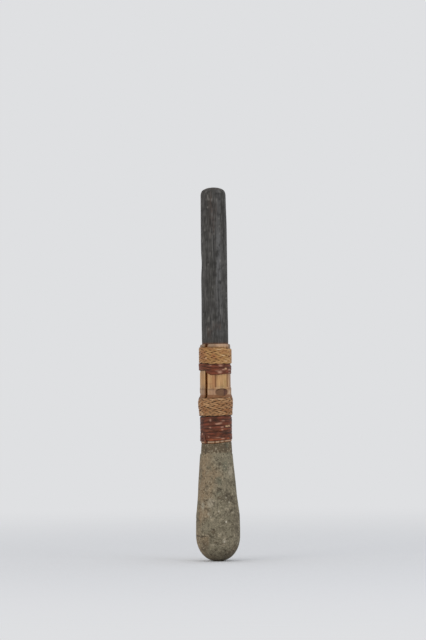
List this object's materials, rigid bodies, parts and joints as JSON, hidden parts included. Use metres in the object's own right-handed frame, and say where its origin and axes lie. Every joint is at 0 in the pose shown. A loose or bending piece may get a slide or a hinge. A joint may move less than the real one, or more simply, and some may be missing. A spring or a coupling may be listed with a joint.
{
  "type": "hafted stone pestle",
  "caption": "Hafted pestle: pear-shaped pounding stone and dark wooden handle joined in a split bamboo sleeve, bound with plaited rattan bands and rattan strip lashings.",
  "frame": {"origin": "on the worn pounding face at the stone's tip, on the handle's axis", "axes": "+Z along the handle's axis from the pounding face to the handle's end, -Y towards the pictured front, +X to its right"},
  "size_m": [0.0442, 0.0442, 0.374],
  "materials": {
    "stone": "pecked and ground grey-brown stone, matt",
    "dark_wood": "whittled hardwood blackened by smoke and handling, matt",
    "bamboo": "aged bamboo culm, satin",
    "pale_rattan": "plaited rattan strip, browned with age, satin",
    "red_rattan": "red-brown rattan strip, worn glossy"
  },
  "bodies": {
    "root": {"stone_head": "stone", "handle": "dark_wood", "sleeve_front_half": "bamboo", "sleeve_back_half": "bamboo", "lower_lashing": "red_rattan", "lower_plaited_band": "pale_rattan", "upper_lashing": "red_rattan", "upper_plaited_band": "pale_rattan"}
  },
  "joints": []
}
